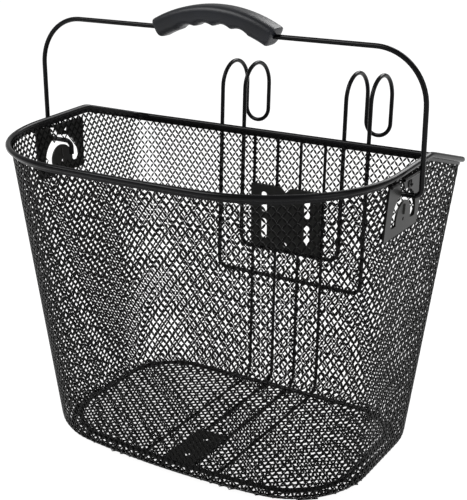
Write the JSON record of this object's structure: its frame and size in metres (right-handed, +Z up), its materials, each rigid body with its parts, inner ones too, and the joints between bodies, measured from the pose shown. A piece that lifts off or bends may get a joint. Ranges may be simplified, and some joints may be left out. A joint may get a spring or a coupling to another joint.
{
  "type": "bicycle handlebar basket",
  "caption": "Wire-mesh bicycle basket with a D-shaped rim, hooks that hang over a handlebar, a slotted adapter plate and a swinging carry handle.",
  "frame": {"origin": "bottom centre of the whole basket's box, on the ground under the support rods", "axes": "+X to the basket's right seen from its curved front, -Y towards the curved front, +Y towards the handlebar, +Z up"},
  "size_m": [0.3754, 0.3244, 0.393],
  "materials": {
    "black_coat": "semi-gloss black powder coat on steel wire, strip and expanded mesh",
    "grip_plastic": "satin moulded black plastic"
  },
  "bodies": {
    "basket": {"rim_wire": "black_coat", "hem_strip": "black_coat", "wall_mesh": "black_coat", "floor_mesh": "black_coat", "floor_ring": "black_coat", "support_rod_1": "black_coat", "support_rod_2": "black_coat", "support_rod_3": "black_coat", "support_rod_4": "black_coat", "hook_frame": "black_coat", "adapter_plate": "black_coat", "floor_plate": "black_coat", "bracket_left": "black_coat", "bracket_right": "black_coat"},
    "handle": {"handle_bail": "black_coat", "handle_grip": "grip_plastic"}
  },
  "joints": [
    {"name": "handle_swing", "type": "hinge", "parent": "basket", "child": "handle", "pos_m": [0, -0.02374, 0.25877], "axis": [1, 0, 0], "range_deg": [-76, 70]}
  ]
}
